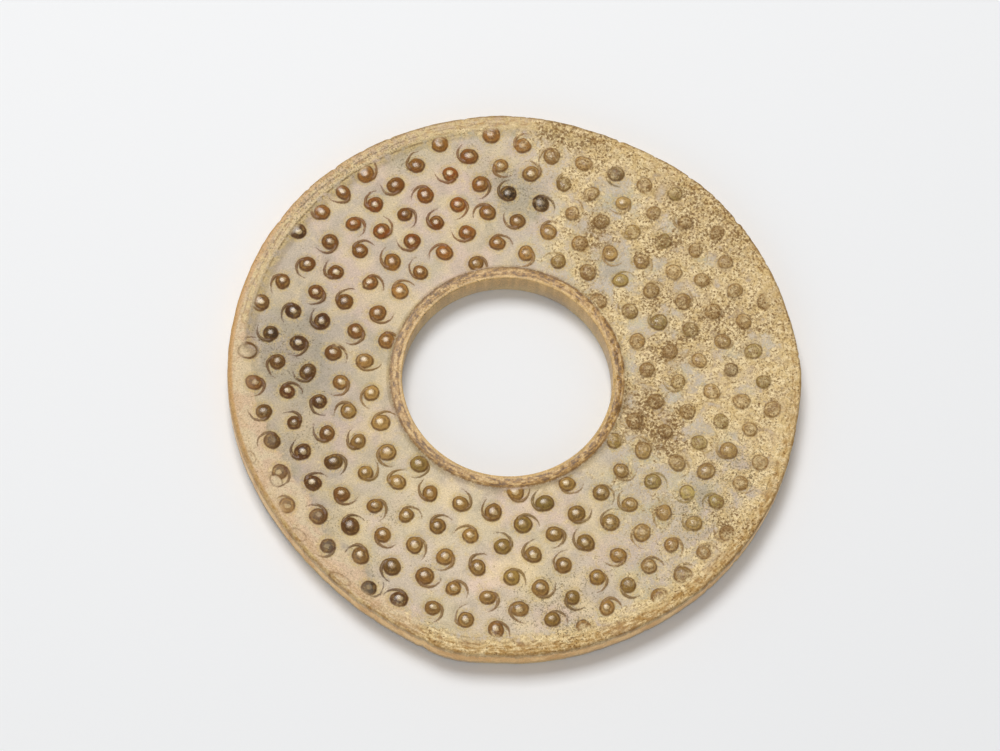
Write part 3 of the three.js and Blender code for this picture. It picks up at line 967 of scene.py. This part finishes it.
def jade_material():
    material = bpy.data.materials.new("jade")
    shade = Shading(material)
    side, carved = shade.stored("side"), shade.stored("carved")
    fine = shade.noise(0.5, 3, 0.65)
    mottle = shade.noise(1.6, 3, 0.6)
    drift = shade.noise(4.5, 3, 0.6, 0.6)
    grain = shade.noise(0.28, 2, 0.6)
    dots = shade.noise(0.36, 2, 0.6)
    holes = shade.cells(0.62, 0.8)

    # clean stone: a fine grain, cream and grey mottling, and stains
    colour = shade.stored("ground", "Color")
    pale = shade.times(shade.step(mottle, 0.52, 0.68), 0.35)
    colour = shade.blend(pale, colour, CREAM_JADE)
    dull = shade.times(shade.step(drift, 0.5, 0.34), 0.25)
    colour = shade.blend(dull, colour, STAIN_GREY)
    stain = shade.ragged(shade.stored("stain"), mottle, 1.2, 0.35, 0.85)
    colour = shade.blend(shade.times(stain, 0.55), colour, STAIN_GREY)
    open_ground = shade.step(shade.stored("crust"), 0.02, 0.3)
    tinted = shade.blend(shade.step(drift, 0.44, 0.58), PATCH_LILAC, PATCH_GREEN)
    colour = shade.blend(shade.times(open_ground, 0.4), colour, tinted)
    colour = paint_walls(shade, colour, drift, fine)
    along = shade.streaks(shade.stored("edge_gap"), 16.0, 0.5)
    at_rim = shade.times(shade.step(shade.stored("edge_gap"), 4.6, 3.2), 0.65)
    grained = shade.between(at_rim, fine, along)
    colour = paint_rims(shade, colour, mottle, grained)

    # the eroded border
    worn = shade.ragged(shade.stored("worn"), mottle, 1.0, 0.25, 0.75)
    border = shade.blend(shade.step(drift, 0.42, 0.6), WORN_CREAM, WORN_PINK)
    border = shade.blend(shade.times(shade.step(fine, 0.46, 0.3), 0.45), border, DARK_CRUST)
    worn = shade.times(worn, shade.step(shade.stored("edge_gap"), 0.7, 1.1))
    colour = shade.blend(shade.times(worn, 0.85), colour, border)

    colour, knob = paint_heads(shade, colour, carved, mottle, fine)
    not_knob = shade.calc("SUBTRACT", 1.0, knob)
    colour = shade.blend(shade.times(shade.stored("lip"), 0.6), colour, DIRT_AND_SHADE_BROWN)

    # the sandy crust, thinner on the knobs
    patchy = shade.scaled(drift, 0.5, shade.times(mottle, 0.5))
    crust = shade.ragged(shade.stored("crust"), patchy, 3.2, 0.25, 0.85)
    sprinkled = shade.times(shade.step(fine, 0.54, 0.62), shade.step(shade.stored("crust"), 0.05, 0.4))
    crust = shade.calc("MAXIMUM", crust, shade.times(sprinkled, 0.6))
    sand = shade.blend(shade.step(mottle, 0.42, 0.60), OCHRE_CRUST, PALE_CRUST)
    sand = shade.blend(shade.times(shade.step(grained, 0.50, 0.36), 0.75), sand, DARK_CRUST)
    sand = shade.blend(shade.times(shade.step(drift, 0.48, 0.34), 0.35), sand, DARK_CRUST)
    thin = shade.scaled(knob, -0.42, 0.92)
    lines = shade.times(shade.band(shade.stored("head_gap"), -0.5, -0.2, 0.1, 0.35), carved)
    thin = shade.times(thin, shade.scaled(lines, -0.45, 1.0))
    colour = shade.blend(shade.times(crust, thin), colour, sand)

    crusted_knob = shade.times(knob, shade.step(shade.stored("crust"), 0.1, 0.6))
    blotch = shade.times(crusted_knob, shade.step(mottle, 0.56, 0.44), shade.step(fine, 0.36, 0.6))
    colour = shade.blend(shade.times(blotch, 0.85), colour, PIT_BROWN)
    browned = shade.times(shade.stored("pitted"), crust, shade.step(fine, 0.58, 0.44), 0.4)
    colour = shade.blend(browned, colour, PIT_BROWN)
    colour = paint_edge(shade, colour, mottle, grained)

    # specks and pits
    level = shade.scaled(shade.stored("speckled"), -0.17, 0.84)
    level = shade.scaled(mottle, -0.25, level)
    specks = shade.step(shade.calc("SUBTRACT", dots, level), 0.0, 0.06)
    specks = shade.times(specks, shade.scaled(knob, -0.6, 1.0))
    colour = shade.blend(shade.times(specks, 0.6), colour, SPECK)
    open_share = shade.scaled(shade.stored("pitted"), 0.28, 0.10)
    open_share = shade.scaled(shade.step(patchy, 0.42, 0.56), 0.20, open_share)
    holed = shade.calc("SUBTRACT", open_share, holes)
    pitted = shade.calc("MAXIMUM", crust, shade.times(crusted_knob, 0.8))
    pit = shade.times(shade.step(holed, -0.05, 0.12), pitted)
    colour = shade.blend(shade.times(pit, 0.75), colour, PIT_BROWN)
    tone = shade.scaled(grain, 0.9, shade.scaled(fine, 0.5, 0.29))
    colour = shade.blend(1.0, colour, tone, "MULTIPLY")
    shade.link(colour, shade.shader.inputs["Base Color"])

    # polished knobs, a soft old polish on the ground, and rough crust and wear
    gloss = shade.times(shade.step(shade.stored("head_gap"), -0.1, -0.6), carved)
    rough = shade.between(gloss, 0.46, POLISHED_KNOB)
    banded = shade.step(shade.stored("hole_gap"), 3.2, 2.6)
    rough = shade.between(banded, rough, 0.42)
    rough = shade.between(shade.times(crust, 0.85), rough, 0.78)
    rough = shade.between(worn, rough, 0.6)
    rough = shade.between(side, rough, 0.45)
    rough = shade.between(pit, rough, 0.9)
    shade.link(rough, shade.shader.inputs["Roughness"])
    shade.shader.inputs["IOR"].default_value = STONE_IOR
    shade.shader.inputs["Specular IOR Level"].default_value = STONE_SPECULAR

    # crust and pits stand out, and the polish is nearly smooth
    rougher = shade.scaled(crust, 0.75, 0.25)
    height = shade.times(grained, rougher)
    height = shade.scaled(mottle, shade.times(not_knob, 0.35), height)
    height = shade.scaled(pit, -1.0, height)
    height = shade.scaled(specks, -0.3, height)
    relief = shade.nodes.new("ShaderNodeBump")
    relief.inputs["Strength"].default_value = GRAIN_STRENGTH
    relief.inputs["Distance"].default_value = GRAIN_DEPTH * MM
    shade.link(height, relief.inputs["Height"])
    shade.link(relief.outputs[0], shade.shader.inputs["Normal"])
    return material


def middle_of_outline():
    """The CAD model stands with the middle of its outline over the origin"""
    angle = np.arange(0, 360, 6)
    radius = outline_radius(angle)
    x, y = radius * np.cos(np.radians(angle)), radius * np.sin(np.radians(angle))
    return (x.max() + x.min()) / 2, (y.max() + y.min()) / 2


def make_disc():
    mesh = thin_out(mesh_from_rings(make_rings(), "bi_disc_carved"), FINAL_TRIANGLES)
    paint(mesh)
    middle_x, middle_y = middle_of_outline()
    mesh.transform(Matrix.Translation((-middle_x, -middle_y, 0)))
    mesh.transform(Matrix.Scale(MM, 4))
    mesh.shade_smooth()
    disc = bpy.data.objects.new("carved_disc", mesh)
    bpy.context.scene.collection.objects.link(disc)
    disc.data.materials.append(jade_material())
    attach(disc, "root")
    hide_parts("bi_disc")
    return disc


# The studio, in metres and degrees
FLOOR_HALF_WIDTH = 2.0
FLOOR_BELOW = 0.0001              # keeps the floor just clear of the disc's underside
FLOOR_COLOUR = (0.885, 0.892, 0.9, 1)
SKY_STRENGTH = 0.37
LIGHTS = [
    # name, place, size, power
    ("key", (-0.22, 0.5, 1.1), 0.5, 9.6),
    ("fill", (-0.25, -1.0, 0.6), 0.9, 1.9),
]
CAMERA_ELEVATION = 69.44
CAMERA_ROLL = 7.21
CAMERA_DISTANCE = 0.7626
CAMERA_LENS = 130.1
CAMERA_SENSOR = 36
CAMERA_SHIFT = (-0.0125, 0.0118)


def make_floor():
    mesh = bpy.data.meshes.new("floor")
    half = FLOOR_HALF_WIDTH
    corners = [(-half, -half, 0), (half, -half, 0), (half, half, 0), (-half, half, 0)]
    mesh.from_pydata(corners, [], [(0, 1, 2, 3)])
    floor = bpy.data.objects.new("floor", mesh)
    bpy.context.scene.collection.objects.link(floor)
    floor.location.z = -FLOOR_BELOW
    material = bpy.data.materials.new("floor")
    material.use_nodes = True
    shader = material.node_tree.nodes["Principled BSDF"]
    shader.inputs["Base Color"].default_value = FLOOR_COLOUR
    shader.inputs["Roughness"].default_value = 0.9
    mesh.materials.append(material)


def add_light(name, place, size, power):
    light = bpy.data.lights.new(name, "AREA")
    light.shape = "SQUARE"
    light.size = size
    light.energy = power
    lamp = bpy.data.objects.new(name, light)
    lamp.location = place
    lamp.rotation_euler = (-Vector(place)).to_track_quat("-Z", "Y").to_euler()
    bpy.context.scene.collection.objects.link(lamp)


def make_light():
    world = bpy.data.worlds.new("studio")
    bpy.context.scene.world = world
    world.use_nodes = True
    background = world.node_tree.nodes["Background"]
    background.inputs["Color"].default_value = (1, 1, 1, 1)
    background.inputs["Strength"].default_value = SKY_STRENGTH
    for light in LIGHTS:
        add_light(*light)


def make_camera():
    """The camera looks down on the lying disc, a little turned about its line of sight"""
    elevation, roll = math.radians(CAMERA_ELEVATION), math.radians(CAMERA_ROLL)
    middle_x, middle_y = middle_of_outline()
    target = Vector((-middle_x * MM, -middle_y * MM, 0))
    back = Vector((0, -math.cos(elevation), math.sin(elevation)))
    level = Vector((1, 0, 0))
    up = back.cross(level)
    right = math.cos(roll) * level + math.sin(roll) * up
    top = back.cross(right)
    camera = bpy.data.cameras.new("camera")
    camera.sensor_width = CAMERA_SENSOR
    camera.lens = CAMERA_LENS
    camera.shift_x, camera.shift_y = CAMERA_SHIFT
    viewer = bpy.data.objects.new("camera", camera)
    turn = Matrix((right, top, back)).transposed().to_4x4()
    viewer.matrix_world = Matrix.Translation(target + CAMERA_DISTANCE * back) @ turn
    bpy.context.scene.collection.objects.link(viewer)
    bpy.context.scene.camera = viewer


bpy.context.scene.view_settings.view_transform = "Standard"
make_camera()
make_floor()
make_light()
make_disc()
